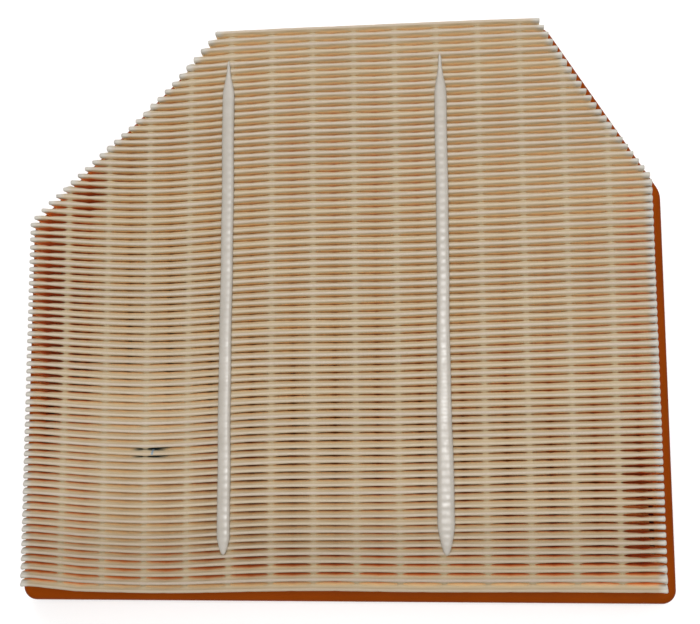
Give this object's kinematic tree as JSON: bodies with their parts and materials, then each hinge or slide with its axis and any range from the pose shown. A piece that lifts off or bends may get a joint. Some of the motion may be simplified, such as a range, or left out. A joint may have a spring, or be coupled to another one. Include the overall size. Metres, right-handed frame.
{
  "type": "panel air filter",
  "caption": "Flat pleated paper air filter element with a six-sided outline, moulded into a soft orange polyurethane sealing frame, with white glue beads across the pleats.",
  "frame": {"origin": "centre of the overall rectangle, on the flat sealing face underneath", "axes": "+X along the pleats, +Y towards the edge between the two cut corners, +Z from the sealing face up to the pleat tips"},
  "size_m": [0.24, 0.2164, 0.0345],
  "materials": {
    "frame_foam": "matte",
    "filter_paper": "matte",
    "white_glue": "satin",
    "end_glue": "satin"
  },
  "bodies": {
    "root": {"seal_frame": "frame_foam", "pleated_media": "filter_paper", "bead_left": "white_glue", "bead_right": "white_glue", "underside_bead_left": "white_glue", "underside_bead_right": "white_glue", "end_seal_left": "end_glue", "end_seal_left_diagonal": "end_glue", "end_seal_right": "end_glue", "end_seal_right_diagonal": "end_glue"}
  },
  "joints": []
}
